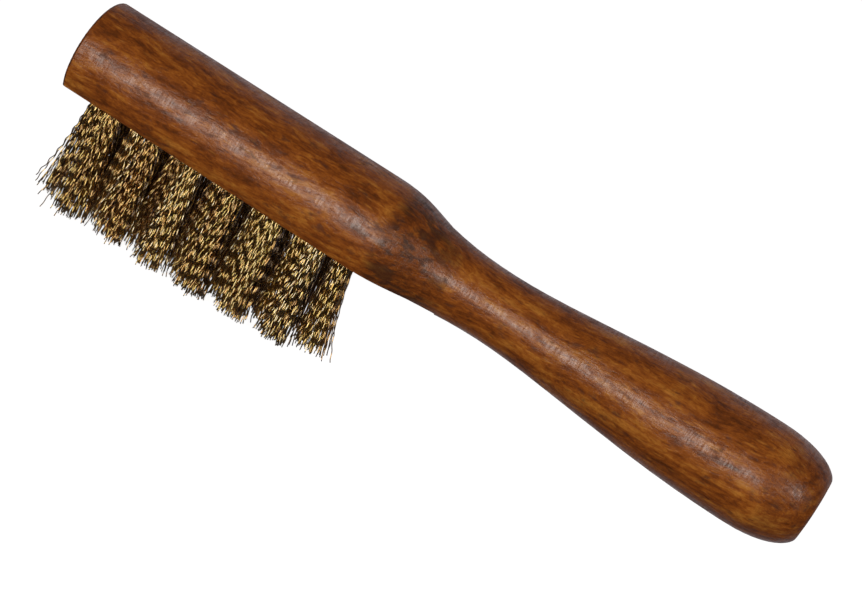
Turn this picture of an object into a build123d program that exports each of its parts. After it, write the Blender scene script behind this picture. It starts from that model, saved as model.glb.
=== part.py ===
from build123d import *
import os

# A hand wire brush. A handle is turned from one length of beech: a straight round head, a shoulder
# that runs down to a slim neck, and a grip that swells towards a rounded butt. A flat is planed
# along the head, and three rows of blind holes are drilled into it. Each hole holds a tuft of
# crimped brass wires, folded double over a strip of flat anchor wire that is driven across the
# hole, so that its ends bite into the wood.
#
# Millimetres, +Z up. The bristle tips stand on z = 0, the handle's axis runs along +X from the
# head's end to the butt, and the brush is the same on both sides of the XZ plane. The origin is
# the middle of the bounding box's bottom face.

# The turned handle: places are distances from the head's end, sizes are radii.
overall_length = 253.0
head_radius = 17.0
head_end_rounding = 1.0
shoulder_start = 100.0
shoulder_crown = (109.0, 16.25)
neck_ring = (121.0, 13.0)
neck_cove = (131.0, 11.52)
neck_middle = (144.0, 10.94)
grip_taper = (168.0, 12.4)
grip_swell = (198.0, 15.25)
grip_widest = (232.0, 16.67)
butt_crown = (241.0, 15.98)
butt_shoulder = (250.9, 12.1)
butt_face_edge = (252.5, 10.1)
butt_doming = 0.5

# How steeply each stretch of the outline meets the next, as rise over run.
neck_ring_slope_before = -0.28
neck_ring_slope_after = -0.19
butt_face_edge_slope = -2.3

# The flat on the head, and the bristles that stand out of it.
flat_below_axis = 10.0
flat_reach = 130.0
flat_edge_rounding = 0.4
trim = 36.0

# The tufts: seven in the middle row, six in each outer row, set half a pitch along.
middle_row_tufts = 7
outer_row_tufts = 6
first_tuft = 9.0
middle_row_length = 89.1
row_spacing = 6.5
hole_radius = 2.55
hole_depth = 12.0
drill_point_height = 1.5
tuft_radius = 2.5
tip_half_length = 5.4
tip_half_width = 3.6
end_tip_half_width = 5.3
outer_tip_splay = 1.6

# How far the tips of the first and last tuft of a row lean towards the butt.
middle_tip_lean = (0.2, 2.8)
outer_tip_lean = (1.3, 0.5)

# The tips are trimmed level for the first stretch of the head, and then rise towards the neck.
level_trim_reach = 40.0
trim_rise = 2.8

# The strip of flat wire across each hole, inside the tuft's fold.
anchor_length = 6.4
anchor_thickness = 0.5
anchor_width = 1.8
anchor_clearance = 0.05
fold_thickness = 1.8
fold_radius = 3.0

axis_height = flat_below_axis + trim
head_end_x = -overall_length / 2
tuft_pitch = middle_row_length / (middle_row_tufts - 1)
hole_bottom = trim + hole_depth
anchor_height = hole_bottom - fold_thickness - anchor_width / 2
upright = (Align.CENTER, Align.CENTER, Align.MIN)


def handle_outline():
    """Half of the handle's lengthwise section, above its axis, as a closed face."""
    head_corner = head_radius - head_end_rounding
    head_end = Line((0, 0), (0, head_corner))
    head_edge = TangentArc((0, head_corner), (head_end_rounding, head_radius), tangent=(0, 1))
    head_side = Line((head_end_rounding, head_radius), (shoulder_start, head_radius))
    shoulder = Spline(
        (shoulder_start, head_radius),
        shoulder_crown,
        neck_ring,
        tangents=[(1, 0), (1, neck_ring_slope_before)],
    )
    neck = Spline(neck_ring, neck_cove, neck_middle, tangents=[(1, neck_ring_slope_after), (1, 0)])
    grip = Spline(neck_middle, grip_taper, grip_swell, grip_widest, tangents=[(1, 0), (1, 0)])
    butt = Spline(
        grip_widest,
        butt_crown,
        butt_shoulder,
        butt_face_edge,
        tangents=[(1, 0), (1, butt_face_edge_slope)],
    )
    butt_middle = (butt_face_edge[0] + butt_doming, 0)
    butt_face = TangentArc(butt_middle, butt_face_edge, tangent=(0, 1))
    axis_line = Line((0, 0), butt_middle)
    curves = [head_end, head_edge, head_side, shoulder, neck, grip, butt, butt_face, axis_line]
    return make_face(curves)


def tip_height(from_head_end):
    """How far the tips of a tuft stand above z = 0, by its distance from the head's end."""
    last_tuft = first_tuft + middle_row_length
    beyond_level = max(0.0, from_head_end - level_trim_reach) / (last_tuft - level_trim_reach)
    return trim_rise * beyond_level**2


def tuft_places():
    """Name and root (x, y) of each tuft, the middle of its tips from there, and their half width."""
    first_outer_tuft = first_tuft + tuft_pitch / 2
    rows = (
        ("middle", middle_row_tufts, first_tuft, 0, middle_tip_lean),
        ("front", outer_row_tufts, first_outer_tuft, -1, outer_tip_lean),
        ("back", outer_row_tufts, first_outer_tuft, 1, outer_tip_lean),
    )
    places = []
    for row, tufts, first, side, (first_lean, last_lean) in rows:
        for i in range(tufts):
            along = first + i * tuft_pitch
            root = (head_end_x + along, side * row_spacing)
            lean = first_lean + (last_lean - first_lean) * i / (tufts - 1)
            tips = (lean, side * outer_tip_splay, tip_height(along))
            stands_alone = row == "middle" and i in (0, tufts - 1)
            half_width = end_tip_half_width if stands_alone else tip_half_width
            places.append((f"{row}_{i + 1}", root, tips, half_width))
    return places


def make_hole():
    """The drilled hole and the seat that the anchor cuts for itself, as one cutting tool."""
    bore = Pos(0, 0, trim) * Cylinder(hole_radius, hole_depth, align=upright)
    point = Pos(0, 0, hole_bottom) * Cone(hole_radius, 0, drill_point_height, align=upright)
    return bore + point + make_anchor()


def make_handle(places):
    """The turned beech, with its flat planed and every hole drilled."""
    turned = Rot(X=-90) * revolve(handle_outline(), axis=Axis.X)
    blank = Pos(head_end_x, 0, axis_height) * turned
    planing = Box(flat_reach, 2 * head_radius, trim, align=(Align.MIN, Align.CENTER, Align.MIN))
    blank -= Pos(head_end_x, 0, 0) * planing
    flat = blank.faces().filter_by(GeomType.PLANE).filter_by(Axis.Z).sort_by(Axis.Z)[0]
    blank = fillet(flat.edges(), flat_edge_rounding)
    hole = make_hole()
    for _, root, _, _ in places:
        blank -= Pos(*root, 0) * hole
    return blank


def make_tuft(tips_from_root, half_width):
    """A bundle of wires: a round root folded over at the hole's bottom, and a flared brush end."""
    root = Pos(0, 0, trim) * Cylinder(tuft_radius, hole_depth, align=upright)
    root &= Pos(0, 0, hole_bottom - fold_radius) * Rot(X=90) * make_fold_envelope()
    mouth = Pos(0, 0, trim) * Circle(tuft_radius)
    tips = Pos(*tips_from_root) * Ellipse(tip_half_length, half_width)
    anchor_slot = Pos(0, 0, anchor_height) * Box(
        anchor_thickness + 2 * anchor_clearance,
        anchor_length,
        anchor_width + 2 * anchor_clearance,
    )
    return root + loft([tips, mouth]) - anchor_slot


def make_fold_envelope():
    """The space that the fold fills: rounded over the anchor, and open below."""
    depth = 2 * fold_radius
    return Cylinder(fold_radius, depth) + Pos(0, -hole_depth / 2, 0) * Box(depth, hole_depth, depth)


def make_anchor():
    """The strip of flat wire that holds one tuft down."""
    return Pos(0, 0, anchor_height) * Box(anchor_thickness, anchor_length, anchor_width)


def build():
    """Write every piece to its own file."""
    os.makedirs("parts", exist_ok=True)
    places = tuft_places()
    export_step(make_handle(places), "parts/handle.step")
    for name, root, tips, half_width in places:
        export_step(Pos(*root, 0) * make_tuft(tips, half_width), f"parts/tuft_{name}.step")
        export_step(Pos(*root, 0) * make_anchor(), f"parts/anchor_{name}.step")


build()
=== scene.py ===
import math

import bmesh
import bpy
import numpy as np
from mathutils import Matrix, Vector

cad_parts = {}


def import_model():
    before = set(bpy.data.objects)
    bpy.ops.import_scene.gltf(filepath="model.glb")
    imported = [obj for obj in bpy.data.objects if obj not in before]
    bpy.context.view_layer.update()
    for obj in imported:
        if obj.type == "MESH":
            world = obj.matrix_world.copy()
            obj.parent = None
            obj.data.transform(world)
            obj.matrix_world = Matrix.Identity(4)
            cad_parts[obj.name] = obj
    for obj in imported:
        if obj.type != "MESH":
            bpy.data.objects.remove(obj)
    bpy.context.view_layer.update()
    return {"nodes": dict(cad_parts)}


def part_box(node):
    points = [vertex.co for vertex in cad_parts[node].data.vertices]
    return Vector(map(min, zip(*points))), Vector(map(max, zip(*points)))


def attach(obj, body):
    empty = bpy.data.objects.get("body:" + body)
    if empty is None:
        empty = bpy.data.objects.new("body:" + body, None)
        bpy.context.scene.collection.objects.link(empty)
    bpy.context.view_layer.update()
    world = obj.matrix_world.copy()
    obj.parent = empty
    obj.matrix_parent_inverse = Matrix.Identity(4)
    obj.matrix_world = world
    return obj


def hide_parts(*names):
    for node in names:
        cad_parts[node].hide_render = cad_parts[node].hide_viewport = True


# A hand wire brush: stained beech under a semi-gloss lacquer, and tufts of crimped brass wire.
# Everything is in metres, in the frame of the CAD part: +X along the handle to the butt, +Z up,
# the bristle tips on z = 0.

MM = 0.001

# The wires. Each is folded double over its tuft's anchor, so it has two ends.
WIRES_PER_TUFT = 56
WIRE_SIDES = 6
WIRE_RADIUS = 0.16 * MM
BUNDLE_RADIUS = 2.3 * MM
FIRST_SEED = 7000

# In the hole the wires part to pass the anchor, and fold over it from a little below its top edge. The
# farther out in the bundle a wire is, the higher is its fold, between two shares of the room above.
FOLD_GAP = 0.40 * MM
FOLD_BELOW_ANCHOR_TOP = 0.3 * MM
FOLD_HEIGHT_SHARES = (0.2, 0.92)
SECOND_END_SHIFT = 0.05 * MM
ROOT_STEPS = 4
FOLD_STEPS = 6

# Below the flat the bundle first opens quickly, over a small share of the wires' length, and then
# evenly down to the tips. Single wires bow, and their tips are scattered.
MOUTH_SPLAY = 0.07
MOUTH_SHARE = 0.05
BOW = 0.3 * MM
TIP_SCATTER = np.array((1.1, 0.8)) * MM

# The trim. Each tuft ends a little short, by a mean and a spread, and single wires end shorter still.
TUFT_SHORTNESS = (0.15 * MM, 0.2 * MM)
RAGGED_TRIM = 0.65 * MM
LONGEST_RAG = 3.5 * MM
TIP_FACE_TOLERANCE = 0.01 * MM

# Strays bend away from their tuft. Wires on a tuft's open side stray more often, and only the tufts on
# the edge of the brush have an open side.
STRAY_SHARE = 0.035
EXPOSED_STRAYS = 3
STRAY_OUTWARD = 2.24 * MM
STRAY_ASIDE = 0.98 * MM
EDGE_SHARPNESS = 6

# The crimp is a flat wave that swings to the front and the back, give or take a spread, and the wires
# of one tuft are roughly in step. It fades in over a small share of the wire, below the flat.
CRIMP_LENGTH = 4.6 * MM
CRIMP_LENGTH_SPREAD = 0.035
CRIMP_HEIGHT = 0.20 * MM
CRIMP_HEIGHT_SPREAD = 0.2
CRIMP_FACING_SPREAD = math.radians(32)
CRIMP_PHASE_SPREAD = 1.1
CRIMP_START_SHARE = 1 / 12
STEPS_PER_CRIMP = 9

# The tints of brass, with the share of the wires that each has.
TINTS = {
    "gold": (0.86, 0.60, 0.20),
    "straw": (0.90, 0.69, 0.31),
    "bronze": (0.50, 0.30, 0.12),
    "copper": (0.78, 0.49, 0.18),
    "olive": (0.72, 0.54, 0.17),
    "pale": (0.92, 0.77, 0.48),
}
TINT_SHARES = (0.30, 0.20, 0.16, 0.14, 0.10, 0.10)
WIRE_FINISH = {"Metallic": 1.0, "Roughness": 0.18, "Coat Weight": 1.0, "Coat Roughness": 0.15}

# Painted shade: dark wires lie on the inner side of the two outer rows, standing in for the shade that
# falls between the rows. Their share at the middle of a tuft, and how it grows from there to the inner
# side, are parts of the largest share.
SHADED_WIRE_TINT = (0.22, 0.145, 0.085)
SHADED_WIRE_SHARE = 0.8
SHADED_WIRE_MIDDLE = 0.4
SHADED_WIRE_GROWTH = 1.2

# The beech, in millimetres. Its growth rings lie round a pith beside the handle's axis. Over the last
# stretch before the butt's end, the stain soaks in less.
PITH_PLACE = (0, 16, -34)
RING_WIDTH = 2.6
GRAIN_TILT = (0, math.radians(4), math.radians(3))
GRAIN_WANDER = 2.5
BUTT_STRETCH = (75.0, 95.0)

# The stain, from the dark strokes of the grain to its light ones, and the colours laid over it.
STAIN_TONES = (
    (0.355, (0.19, 0.050, 0.009)),
    (0.415, (0.34, 0.085, 0.012)),
    (0.48, (0.54, 0.150, 0.019)),
    (0.58, (0.86, 0.33, 0.050)),
)
FLECK_COLOUR = (0.95, 0.36, 0.06, 1)
# The dark edge round each ray fleck is painted shade, standing in for the shadow at the fleck's rim.
FLECK_RIM_SHADE_COLOUR = (0.14, 0.040, 0.012, 1)
SMUDGE_COLOUR = (0.085, 0.030, 0.018, 1)
SOAKED_COLOUR = (0.055, 0.019, 0.012, 1)
ANCHOR_TONES = ((0.3, (0.42, 0.43, 0.45)), (0.7, (0.66, 0.67, 0.70)))

# The studio looks at the brush from a little above its side. Places in it are from the middle of the
# handle's axis, with +Y away from the camera, and the whole studio is then turned about the axis by
# its tilt. A large softbox lights the brush, and a smaller one glints on the butt's edge.
STUDIO_TILT = math.radians(19.4)
CAMERA_PLACE = (0.09223, -0.65956, -0.00938)
CAMERA_YAW = math.radians(7.868)
CAMERA_ROLL = math.radians(32.74)
CAMERA_LENS = 94.635
SOFTBOX_COLOUR = (1.0, 0.965, 0.90)
SOFTBOX_PLACE = (-0.21, -1.13, -0.20)
SOFTBOX_SIZE = (0.86, 0.46)
SOFTBOX_RADIANCE = 4.1
SIDE_LIGHT_PLACE = (0.76, -0.88, 0.22)
SIDE_LIGHT_SIZE = (0.46, 0.34)
SIDE_LIGHT_RADIANCE = 3.5

# What the brush reflects besides the lights, and how the table's glow fades round from behind it.
FRONT_ROOM = (0.020, 0.018, 0.019, 1)
BACK_TABLE = (0.33, 0.30, 0.32, 1)
TABLE_GLOW_TILT = math.radians(20)
TABLE_GLOW_EDGES = (0.1, 0.95)
WHITE = (1, 1, 1, 1)
FLOOR_COLOUR = (0.9, 0.9, 0.9, 1)
FLOOR_GLOW = 0.93
FLOOR_RADIUS = 30.0
FLOOR_SIDES = 64


def node(tree, kind, inputs=None, **settings):
    """A new shader node. inputs maps socket names to values, or to the outputs that feed them."""
    made = tree.nodes.new("ShaderNode" + kind)
    for setting, value in settings.items():
        setattr(made, setting, value)
    for socket, value in (inputs or {}).items():
        if isinstance(value, bpy.types.NodeSocket):
            tree.links.new(value, made.inputs[socket])
        else:
            made.inputs[socket].default_value = value
    return made


def calc(tree, operation, a, b=0.0, c=0.0, clamp=False):
    """One sum on numbers."""
    return node(tree, "Math", {0: a, 1: b, 2: c}, operation=operation, use_clamp=clamp).outputs[0]


def smooth(tree, value, low, high):
    """0 at low, 1 at high, and smooth between them. low may be the larger."""
    made = node(
        tree,
        "MapRange",
        {"Value": value, "From Min": low, "From Max": high},
        interpolation_type="SMOOTHSTEP",
    )
    return made.outputs["Result"]


def vector_calc(tree, operation, a, b=(0, 0, 0)):
    """One sum on vectors."""
    made = node(tree, "VectorMath", {0: a, 1: b}, operation=operation)
    return made.outputs["Value" if operation in ("LENGTH", "DOT_PRODUCT") else "Vector"]


def noise(tree, vector, scale, detail=2.0, roughness=0.5, distortion=0.0):
    """Noise whose features are 1 / scale long along each axis."""
    made = node(
        tree,
        "TexNoise",
        {
            "Vector": vector_calc(tree, "MULTIPLY", vector, scale),
            "Scale": 1.0,
            "Detail": detail,
            "Roughness": roughness,
            "Distortion": distortion,
        },
    )
    return made.outputs["Fac"]


def blend(tree, factor, a, b, mode="MIX"):
    """Two colours mixed."""
    made = node(tree, "Mix", {0: factor}, data_type="RGBA", blend_type=mode)
    for socket, value in ((6, a), (7, b)):
        if isinstance(value, bpy.types.NodeSocket):
            tree.links.new(value, made.inputs[socket])
        else:
            made.inputs[socket].default_value = value
    return made.outputs[2]


def ramp(tree, factor, stops):
    """A colour ramp from (position, colour) pairs."""
    made = node(tree, "ValToRGB", {"Fac": factor})
    elements = made.color_ramp.elements
    while len(elements) < len(stops):
        elements.new(1.0)
    for element, (position, colour) in zip(elements, stops):
        element.position = position
        element.color = (*colour, 1.0)
    return made.outputs["Color"]


def new_material(name):
    """An empty node material, with its tree and its output."""
    material = bpy.data.materials.new(name)
    material.use_nodes = True
    tree = material.node_tree
    tree.nodes.clear()
    return material, tree, tree.nodes.new("ShaderNodeOutputMaterial")


def in_millimetres(tree, vector):
    """A place in metres, in millimetres."""
    return vector_calc(tree, "MULTIPLY", vector, (1 / MM,) * 3)


def run_of_grain(tree, place):
    """Places with X along the grain, which runs a few degrees off the handle's axis and wanders."""
    drift = noise(tree, place, (0.035, 0.05, 0.05), detail=1.0)
    wander = calc(tree, "MULTIPLY_ADD", drift, 2 * GRAIN_WANDER, -GRAIN_WANDER)
    shift = node(tree, "CombineXYZ", {"Y": wander, "Z": wander}).outputs[0]
    tilted = node(tree, "Mapping", {"Vector": place, "Rotation": GRAIN_TILT}).outputs[0]
    return vector_calc(tree, "ADD", tilted, shift)


def growth_rings(tree, grain):
    """Rings about the pith, from 0 in the pale early wood to 1 in the dark late wood."""
    warp = noise(tree, grain, (0.02, 0.09, 0.09))
    from_pith = vector_calc(tree, "SUBTRACT", grain, PITH_PLACE)
    distance = vector_calc(tree, "LENGTH", vector_calc(tree, "MULTIPLY", from_pith, (0, 1, 1)))
    warp_turn = calc(tree, "MULTIPLY", warp, 9.0)
    turns = calc(tree, "MULTIPLY_ADD", distance, 2 * math.pi / RING_WIDTH, warp_turn)
    wave = calc(tree, "MULTIPLY_ADD", calc(tree, "SINE", turns), 0.5, 0.5)
    return calc(tree, "POWER", wave, 2.5)


def wood_figure(tree, place, grain):
    """The patterns that the wood's colour and its lacquer share, each a number at every place."""
    smudge_noise = noise(tree, grain, (0.15, 0.34, 0.34), detail=3.0, roughness=0.65)
    return {
        # Cloudy blotches, long streaks, short strokes and fine fibres run along the grain.
        "blotches": noise(tree, grain, (0.06, 0.17, 0.17), detail=3.0, roughness=0.55),
        "streaks": noise(tree, grain, (0.10, 0.60, 0.60), detail=3.0, roughness=0.6, distortion=0.3),
        "strokes": noise(tree, grain, (0.32, 0.90, 0.90), detail=3.0, roughness=0.6, distortion=0.8),
        "fibres": noise(tree, grain, (0.50, 3.2, 3.2), roughness=0.55),
        # Smudges, where the stain dried dark and the lacquer sank in dull.
        "smudges": smooth(tree, smudge_noise, 0.56, 0.72),
        # Lathe marks run round the handle.
        "marks": noise(tree, place, (1.8, 0.22, 0.22), roughness=0.7),
    }


def grain_colour(tree, grain, figure):
    """The stained grain, over faint growth rings."""
    tone = calc(tree, "MULTIPLY", figure["blotches"], 0.34)
    shares = (
        (figure["streaks"], 0.22),
        (figure["strokes"], 0.25),
        (figure["fibres"], 0.13),
        (growth_rings(tree, grain), -0.035),
    )
    for pattern, share in shares:
        tone = calc(tree, "MULTIPLY_ADD", pattern, share, tone)
    return ramp(tree, tone, STAIN_TONES)


def add_ray_flecks(tree, colour, place, grain):
    """Small light lens shapes along the grain, here and there, each with a dark edge of painted shade
    for the shadow at the fleck's rim.
    """
    cell_place = vector_calc(tree, "MULTIPLY", grain, (0.11, 0.75, 0.75))
    cells = node(tree, "TexVoronoi", {"Vector": cell_place, "Scale": 1.0, "Randomness": 1.0})
    from_middle = cells.outputs["Distance"]
    patch = smooth(tree, noise(tree, place, (0.06, 0.10, 0.10)), 0.48, 0.62)
    fleck = calc(tree, "MULTIPLY", smooth(tree, from_middle, 0.36, 0.06), patch)
    # Painted shade: a dark ring round each fleck.
    rim_shade = calc(tree, "MULTIPLY", smooth(tree, from_middle, 0.48, 0.36), patch)
    colour = blend(tree, calc(tree, "MULTIPLY", rim_shade, 0.12), colour, FLECK_RIM_SHADE_COLOUR)
    return blend(tree, calc(tree, "MULTIPLY", fleck, 0.50), colour, FLECK_COLOUR)


def soaked_in(tree, place, figure):
    """How far the stain soaked in: deeper where the turned surface cuts across the grain, and more on
    the shoulder than on the butt."""
    normal = node(tree, "NewGeometry").outputs["Normal"]
    along_normal = node(tree, "SeparateXYZ", {0: normal}).outputs["X"]
    end_grain = smooth(tree, calc(tree, "ABSOLUTE", along_normal), 0.08, 0.185)
    half_blotches = calc(tree, "MULTIPLY", figure["blotches"], 0.5)
    line = calc(tree, "MULTIPLY_ADD", figure["streaks"], 0.5, half_blotches)
    patch = calc(tree, "MULTIPLY_ADD", smooth(tree, line, 0.44, 0.55), 0.80, 0.12)
    along = node(tree, "SeparateXYZ", {0: place}).outputs["X"]
    butt_start, butt_end = BUTT_STRETCH
    before_butt = calc(tree, "MULTIPLY_ADD", smooth(tree, along, butt_end, butt_start), 0.7, 0.3)
    return calc(tree, "MULTIPLY", calc(tree, "MULTIPLY", end_grain, before_butt), patch, clamp=True)


def stained_colour(tree, place, grain, figure):
    """The colour of the wood at every place."""
    colour = grain_colour(tree, grain, figure)
    colour = add_ray_flecks(tree, colour, place, grain)
    smudged = calc(tree, "MULTIPLY", figure["smudges"], 0.60)
    colour = blend(tree, smudged, colour, SMUDGE_COLOUR)
    soaked = calc(tree, "MULTIPLY", soaked_in(tree, place, figure), 0.88)
    colour = blend(tree, soaked, colour, SOAKED_COLOUR)
    marked = calc(tree, "MULTIPLY_ADD", figure["marks"], 0.9, 0.55)
    grey = node(tree, "CombineXYZ", {0: marked, 1: marked, 2: marked}).outputs[0]
    return blend(tree, 0.35, colour, grey, mode="MULTIPLY")


def lacquer_normal(tree, place, figure):
    """The lacquer lies in slow waves, and follows the strokes, the fibres and the lathe marks."""
    heights = (
        (noise(tree, place, (0.13, 0.16, 0.16)), 0.50 * MM),
        (figure["strokes"], 0.14 * MM),
        (figure["fibres"], 0.05 * MM),
        (figure["marks"], 0.09 * MM),
    )
    below = {}
    for height, distance in heights:
        bump = node(tree, "Bump", {"Height": height, "Strength": 1.0, "Distance": distance, **below})
        below = {"Normal": bump.outputs[0]}
    return bump.outputs[0]


def lacquer_coat(tree, place, figure):
    """How glossy the lacquer is: patchy, scored by the lathe marks, and dull over the smudges."""
    patch_noise = noise(tree, place, (0.12, 0.24, 0.24), detail=3.0, roughness=0.7)
    coat = calc(tree, "MULTIPLY_ADD", smooth(tree, patch_noise, 0.40, 0.58), 0.62, 0.03)
    scored = calc(tree, "MULTIPLY_ADD", figure["marks"], 6.0, -2.1)
    coat = calc(tree, "MULTIPLY", coat, scored, clamp=True)
    return calc(tree, "MULTIPLY", coat, calc(tree, "MULTIPLY_ADD", figure["smudges"], -0.6, 1.0))


def beech_material(axis_height):
    """Beech with a dark stain and a semi-gloss lacquer, turned about the handle's axis."""
    material, tree, output = new_material("stained_beech")
    coordinates = node(tree, "TexCoord").outputs["Object"]
    from_axis = vector_calc(tree, "ADD", coordinates, (0, 0, -axis_height))
    place = in_millimetres(tree, from_axis)
    grain = run_of_grain(tree, place)
    figure = wood_figure(tree, place, grain)
    rough = calc(tree, "MULTIPLY_ADD", figure["streaks"], 0.20, 0.22)
    shader = node(
        tree,
        "BsdfPrincipled",
        {
            "Base Color": stained_colour(tree, place, grain, figure),
            "Roughness": calc(tree, "MULTIPLY_ADD", figure["smudges"], 0.18, rough),
            "Normal": lacquer_normal(tree, place, figure),
            "Coat Weight": lacquer_coat(tree, place, figure),
            "Coat Roughness": 0.2,
        },
    )
    tree.links.new(shader.outputs[0], output.inputs["Surface"])
    return material


def wire_material(name, colour):
    """One tint of drawn brass wire, under a thin film of varnish."""
    material, tree, output = new_material("brass_" + name)
    shader = node(tree, "BsdfPrincipled", {"Base Color": (*colour, 1.0), **WIRE_FINISH})
    tree.links.new(shader.outputs[0], output.inputs["Surface"])
    return material


def anchor_material():
    """Zinc-plated flat wire, brushed along its length."""
    material, tree, output = new_material("anchor_wire")
    place = in_millimetres(tree, node(tree, "TexCoord").outputs["Object"])
    brushed = noise(tree, place, (6.0, 0.6, 6.0))
    shader = node(
        tree,
        "BsdfPrincipled",
        {
            "Base Color": ramp(tree, brushed, ANCHOR_TONES),
            "Metallic": 1.0,
            "Roughness": calc(tree, "MULTIPLY_ADD", brushed, 0.2, 0.3),
        },
    )
    tree.links.new(shader.outputs[0], output.inputs["Surface"])
    return material


def tube_mesh(name, paths, tints):
    """One mesh of closed round wires. paths holds the points of each wire, and tints its material."""
    tubes, rings = paths.shape[:2]
    along = np.gradient(paths, axis=1)
    along /= np.linalg.norm(along, axis=2, keepdims=True)
    across = np.array((0.0, 1.0, 0.0)) - along[..., 1:2] * along
    across /= np.linalg.norm(across, axis=2, keepdims=True)
    beside = np.cross(along, across)
    turn = np.arange(WIRE_SIDES) * 2 * math.pi / WIRE_SIDES
    around = np.cos(turn)[:, None] * across[:, :, None] + np.sin(turn)[:, None] * beside[:, :, None]
    points = (paths[:, :, None] + WIRE_RADIUS * around).reshape(-1, 3)

    ring = np.arange(tubes * rings).reshape(tubes, rings) * WIRE_SIDES
    corner = np.arange(WIRE_SIDES)
    following = (corner + 1) % WIRE_SIDES
    low, high = ring[:, :-1, None], ring[:, 1:, None]
    wall_corners = [low + corner, low + following, high + following, high + corner]
    walls = np.stack(wall_corners, axis=-1).reshape(-1, 4)
    caps = np.concatenate([ring[:, :1] + corner[::-1], ring[:, -1:] + corner])

    mesh = bpy.data.meshes.new(name)
    mesh.vertices.add(len(points))
    mesh.vertices.foreach_set("co", points.ravel())
    mesh.loops.add(walls.size + caps.size)
    mesh.loops.foreach_set("vertex_index", np.concatenate([walls.ravel(), caps.ravel()]))
    wall_starts = np.arange(len(walls)) * 4
    cap_starts = walls.size + np.arange(len(caps)) * WIRE_SIDES
    mesh.polygons.add(len(walls) + len(caps))
    mesh.polygons.foreach_set("loop_start", np.concatenate([wall_starts, cap_starts]))
    smooth_walls = np.concatenate([np.ones(len(walls), bool), np.zeros(len(caps), bool)])
    mesh.polygons.foreach_set("use_smooth", smooth_walls)
    walls_per_tube = (rings - 1) * WIRE_SIDES
    numbers = np.concatenate([np.repeat(tints, walls_per_tube), tints, tints])
    mesh.polygons.foreach_set("material_index", numbers)
    mesh.update(calc_edges=True)
    mesh.validate()
    return mesh


def bundle_places(rng):
    """Where the wires' first ends leave the hole: points spread evenly over its half toward +X."""
    count = 2 * WIRES_PER_TUFT
    i = np.arange(count) + 0.5
    radius = BUNDLE_RADIUS * np.sqrt(i / count)
    golden_angle = math.pi * (3 - math.sqrt(5))
    turn = i * golden_angle + rng.uniform(0, 2 * math.pi)
    across, along = radius * np.cos(turn), radius * np.sin(turn)
    right = np.argsort(-across)[:WIRES_PER_TUFT]
    return np.stack([np.abs(across[right]), along[right]], axis=1)


def free_ends(rng, roots, tuft, flat_height):
    """The crimped part of each wire, from the flat to its tip."""
    count = len(roots)
    outward = np.array(tuft["outward"])
    spread = (roots / BUNDLE_RADIUS) * np.array(tuft["tip_half"])
    scatter = rng.normal(0, TIP_SCATTER, (count, 2))
    height = tuft["trim"] + np.minimum(rng.exponential(RAGGED_TRIM, count), LONGEST_RAG)

    exposed = np.maximum(roots @ outward / BUNDLE_RADIUS, 0)
    stray = rng.random(count) < STRAY_SHARE * (1 + EXPOSED_STRAYS * exposed)
    away = np.abs(rng.normal(0, STRAY_OUTWARD, (count, 1))) * outward
    away = away + rng.normal(0, STRAY_ASIDE, (count, 2))
    away = away * stray[:, None] + scatter

    steps = int(round(flat_height / CRIMP_LENGTH)) * STEPS_PER_CRIMP
    t = np.linspace(0, 1, steps + 1)
    down = flat_height + (height[:, None] - flat_height) * t
    mouth = MOUTH_SPLAY * (1 - np.exp(-t / MOUTH_SHARE))
    open_by = ((1 - MOUTH_SPLAY) * t + mouth)[:, None]
    middle = np.array(tuft["root"]) * (1 - open_by) + np.array(tuft["tips"]) * open_by
    path = middle + roots[:, None] * (1 - open_by) + spread[:, None] * open_by
    path = path + away[:, None] * open_by**2
    bow = rng.normal(0, BOW, (count, 1, 2))
    snake = rng.normal(0, BOW / 2, (count, 1, 2))
    path = path + bow * np.sin(math.pi * open_by) + snake * np.sin(2 * math.pi * open_by)

    facing = rng.normal(math.pi / 2, CRIMP_FACING_SPREAD, count)
    phase = rng.uniform(0, 2 * math.pi) + rng.normal(0, CRIMP_PHASE_SPREAD, (count, 1))
    length = CRIMP_LENGTH * rng.normal(1, CRIMP_LENGTH_SPREAD, (count, 1))
    swing = CRIMP_HEIGHT * rng.normal(1, CRIMP_HEIGHT_SPREAD, (count, 1))
    swing = swing * np.sin(2 * math.pi * down / length + phase)
    swing *= np.clip(t / CRIMP_START_SHARE, 0, 1)
    path[:, :, 0] += swing * np.cos(facing)[:, None]
    path[:, :, 1] += swing * np.sin(facing)[:, None]
    return np.concatenate([path, down[:, :, None]], axis=2)


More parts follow.
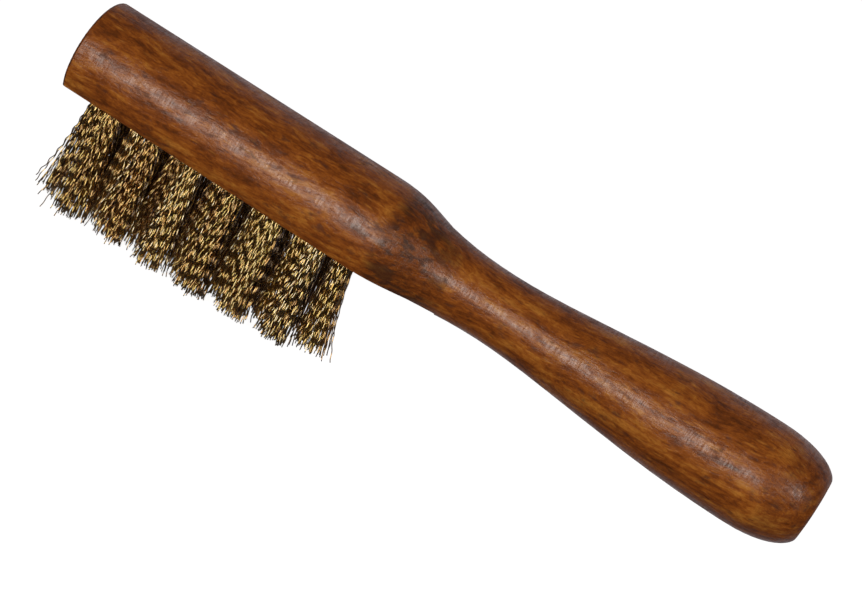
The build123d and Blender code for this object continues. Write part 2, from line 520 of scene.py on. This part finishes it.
def wire_paths(rng, tuft, right, flat_height):
    """Every wire of a tuft: from its tip up into the hole, over the anchor, and down to its other tip.
    right holds where the first ends leave the hole, from its middle."""
    left = right * np.array((-1, 1)) + rng.normal(0, SECOND_END_SHIFT, right.shape)
    gripped = right * (1 - FOLD_GAP / BUNDLE_RADIUS) + FOLD_GAP * np.array((1, 0))
    right_free = free_ends(rng, right, tuft, flat_height)
    left_free = free_ends(rng, left, tuft, flat_height)

    root = np.array(tuft["root"])
    fold_low = tuft["fold_low"]
    fold_room = tuft["fold_top"] - fold_low
    fold_height = fold_room * np.clip(right[:, 0] / BUNDLE_RADIUS, *FOLD_HEIGHT_SHARES)
    rise = np.linspace(flat_height, fold_low, ROOT_STEPS + 1)[1:]
    turn = np.linspace(0, math.pi, FOLD_STEPS + 1)[1:-1]

    def root_part(mouth, anchored):
        """From the mouth of the hole to the anchor, where the wires part to pass it."""
        part = np.linspace(0, 1, ROOT_STEPS + 1)[1:, None]
        flat = root + mouth[:, None] * (1 - part) + anchored[:, None] * part
        return np.concatenate([flat, np.broadcast_to(rise, flat.shape[:2])[..., None]], axis=2)

    fold_flat = root + gripped[:, None] * np.stack([np.cos(turn), np.ones(len(turn))], axis=1)
    fold_up = fold_low + fold_height[:, None] * np.sin(turn)[None]
    fold = np.concatenate([fold_flat, fold_up[..., None]], axis=2)
    right_root = root_part(right, gripped)
    left_root = root_part(left, gripped * np.array((-1, 1)))
    parts = [right_free[:, ::-1], right_root, fold, left_root[:, ::-1], left_free]
    return np.concatenate(parts, axis=1)


def mesh_points(thing):
    """A mesh's vertices as an array."""
    points = np.empty(len(thing.data.vertices) * 3)
    thing.data.vertices.foreach_get("co", points)
    return points.reshape(-1, 3)


def tip_face(tuft):
    """The points of a CAD tuft's flat tip face."""
    points = mesh_points(tuft)
    return points[points[:, 2] < points[:, 2].min() + TIP_FACE_TOLERANCE]


def read_tuft(nodes, name, block, rng):
    """What the frame says about one tuft: its root, its tips, and the anchor it is folded over.
    block holds the least and the greatest place of all the roots."""
    tips = tip_face(nodes["tuft_" + name])
    low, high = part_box("anchor_" + name)
    root = np.array(((low.x + high.x) / 2, (low.y + high.y) / 2))
    block_low, block_high = block
    from_middle = (2 * root - block_low - block_high) / (block_high - block_low)
    return {
        "root": root,
        "side": round(from_middle[1]),
        "outward": np.sign(from_middle) * np.abs(from_middle) ** EDGE_SHARPNESS,
        "tips": (tips.min(0) + tips.max(0))[:2] / 2,
        "tip_half": (tips.max(0) - tips.min(0))[:2] / 2,
        "fold_low": high.z - FOLD_BELOW_ANCHOR_TOP,
        "fold_top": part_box("tuft_" + name)[1].z,
        "trim": tips[:, 2].min() + max(0.0, rng.normal(*TUFT_SHORTNESS)),
    }


def pick_tints(rng, side, right):
    """The number of each wire's material. side is -1, 0 or 1 for the front, middle or back row."""
    tints = rng.choice(len(TINTS), WIRES_PER_TUFT, p=TINT_SHARES)
    # Wires toward the inside of an outer row get the dark tint, painted shade for the shadow between
    # the rows.
    toward_outside = side * right[:, 1] / BUNDLE_RADIUS
    inner = np.clip(SHADED_WIRE_MIDDLE - SHADED_WIRE_GROWTH * toward_outside, 0, 1) * abs(side)
    tints[rng.random(WIRES_PER_TUFT) < SHADED_WIRE_SHARE * inner] = len(TINTS)
    return tints


def build_tufts(nodes, flat_height):
    """One piece of wires for each tuft of the frame."""
    materials = [wire_material(name, colour) for name, colour in TINTS.items()]
    # The last material is the dark tint of painted shade for the wires between the rows.
    materials.append(wire_material("painted_shade", SHADED_WIRE_TINT))
    names = sorted(n[len("tuft_"):] for n in nodes if n.startswith("tuft_"))
    anchors = np.array([[corner[:2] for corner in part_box("anchor_" + name)] for name in names])
    roots = anchors.mean(axis=1)
    block = roots.min(axis=0), roots.max(axis=0)
    for number, name in enumerate(names):
        rng = np.random.default_rng(FIRST_SEED + number)
        tuft = read_tuft(nodes, name, block, rng)
        right = bundle_places(rng)
        paths = wire_paths(rng, tuft, right, flat_height)
        mesh = tube_mesh("wires_" + name, paths, pick_tints(rng, tuft["side"], right))
        for material in materials:
            mesh.materials.append(material)
        wires = bpy.data.objects.new("wires_" + name, mesh)
        bpy.context.scene.collection.objects.link(wires)
        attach(wires, "root")
        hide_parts("tuft_" + name)


def dress(thing, material):
    """Gives a CAD node its finish."""
    thing.data.materials.clear()
    thing.data.materials.append(material)


def studio_matrix(axis_height):
    """From places in the studio to places in the frame."""
    return Matrix.Translation((0, 0, axis_height)) @ Matrix.Rotation(-STUDIO_TILT, 4, "X")


def add_camera(studio):
    """The camera, level in the studio and rolled about its line of sight."""
    data = bpy.data.cameras.new("camera")
    data.lens = CAMERA_LENS
    camera = bpy.data.objects.new("camera", data)
    bpy.context.scene.collection.objects.link(camera)
    forward = Vector((-math.sin(CAMERA_YAW), math.cos(CAMERA_YAW), 0))
    level = Vector((math.cos(CAMERA_YAW), math.sin(CAMERA_YAW), 0))
    up = Vector((0, 0, 1))
    right = math.cos(CAMERA_ROLL) * level + math.sin(CAMERA_ROLL) * up
    above = math.cos(CAMERA_ROLL) * up - math.sin(CAMERA_ROLL) * level
    turned = Matrix((right, above, -forward)).transposed()
    camera.matrix_world = studio @ Matrix.Translation(CAMERA_PLACE) @ turned.to_4x4()
    bpy.context.scene.camera = camera


def add_softbox(studio, name, place, size, radiance):
    """A rectangular area light that faces the brush. radiance is how bright its face is."""
    data = bpy.data.lights.new(name, "AREA")
    data.shape = "RECTANGLE"
    data.size, data.size_y = size
    data.color = SOFTBOX_COLOUR
    data.energy = radiance * math.pi * size[0] * size[1]
    light = bpy.data.objects.new(name, data)
    facing = (-Vector(place)).to_track_quat("-Z", "Y").to_matrix().to_4x4()
    light.matrix_world = studio @ Matrix.Translation(place) @ facing
    bpy.context.scene.collection.objects.link(light)


def add_world(studio):
    """A white backdrop for the camera. In reflections, a dim room in front and a pale table behind."""
    world = bpy.data.worlds.new("studio")
    world.use_nodes = True
    tree = world.node_tree
    tree.nodes.clear()
    away = studio.to_3x3() @ Vector((0, math.cos(TABLE_GLOW_TILT), math.sin(TABLE_GLOW_TILT)))
    direction = node(tree, "TexCoord").outputs["Generated"]
    behind = vector_calc(tree, "DOT_PRODUCT", direction, away)
    colour = blend(tree, smooth(tree, behind, *TABLE_GLOW_EDGES), FRONT_ROOM, BACK_TABLE)
    room = node(tree, "Background", {"Color": colour, "Strength": 1.0})
    backdrop = node(tree, "Background", {"Color": WHITE, "Strength": 1.0})
    seen = node(tree, "LightPath").outputs["Is Camera Ray"]
    both = node(tree, "MixShader", {0: seen, 1: room.outputs[0], 2: backdrop.outputs[0]})
    output = tree.nodes.new("ShaderNodeOutputWorld")
    tree.links.new(both.outputs[0], output.inputs["Surface"])
    bpy.context.scene.world = world


def add_floor():
    """A plain white floor that catches a faint shadow and throws no light back."""
    mesh = bpy.data.meshes.new("floor")
    shape = bmesh.new()
    bmesh.ops.create_circle(shape, cap_ends=True, radius=FLOOR_RADIUS, segments=FLOOR_SIDES)
    shape.to_mesh(mesh)
    shape.free()
    floor = bpy.data.objects.new("floor", mesh)
    bpy.context.scene.collection.objects.link(floor)
    material, tree, output = new_material("white_floor")
    glow = node(tree, "Emission", {"Color": WHITE, "Strength": FLOOR_GLOW})
    matt = node(tree, "BsdfDiffuse", {"Color": FLOOR_COLOUR})
    both = node(tree, "AddShader", {0: glow.outputs[0], 1: matt.outputs[0]})
    tree.links.new(both.outputs[0], output.inputs["Surface"])
    mesh.materials.append(material)
    floor.visible_diffuse = False
    floor.visible_glossy = False
    floor.visible_shadow = False


def main():
    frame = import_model()
    nodes = frame["nodes"]
    bpy.context.scene.view_settings.view_transform = "Standard"

    # The handle's top is the top of the head, and the head's lowest points lie on its flat.
    handle = nodes["handle"]
    handle_low, handle_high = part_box("handle")
    head_radius = (handle_high.y - handle_low.y) / 2
    axis_height = handle_high.z - head_radius
    points = mesh_points(handle)
    head = points[points[:, 0] < handle_low.x + 2 * head_radius]
    flat_height = head[:, 2].min()

    dress(handle, beech_material(axis_height))
    anchor_wire = anchor_material()
    for name, thing in nodes.items():
        if name.startswith("anchor_"):
            dress(thing, anchor_wire)
    build_tufts(nodes, flat_height)

    studio = studio_matrix(axis_height)
    add_world(studio)
    add_floor()
    add_softbox(studio, "softbox", SOFTBOX_PLACE, SOFTBOX_SIZE, SOFTBOX_RADIANCE)
    add_softbox(studio, "side_light", SIDE_LIGHT_PLACE, SIDE_LIGHT_SIZE, SIDE_LIGHT_RADIANCE)
    add_camera(studio)


main()
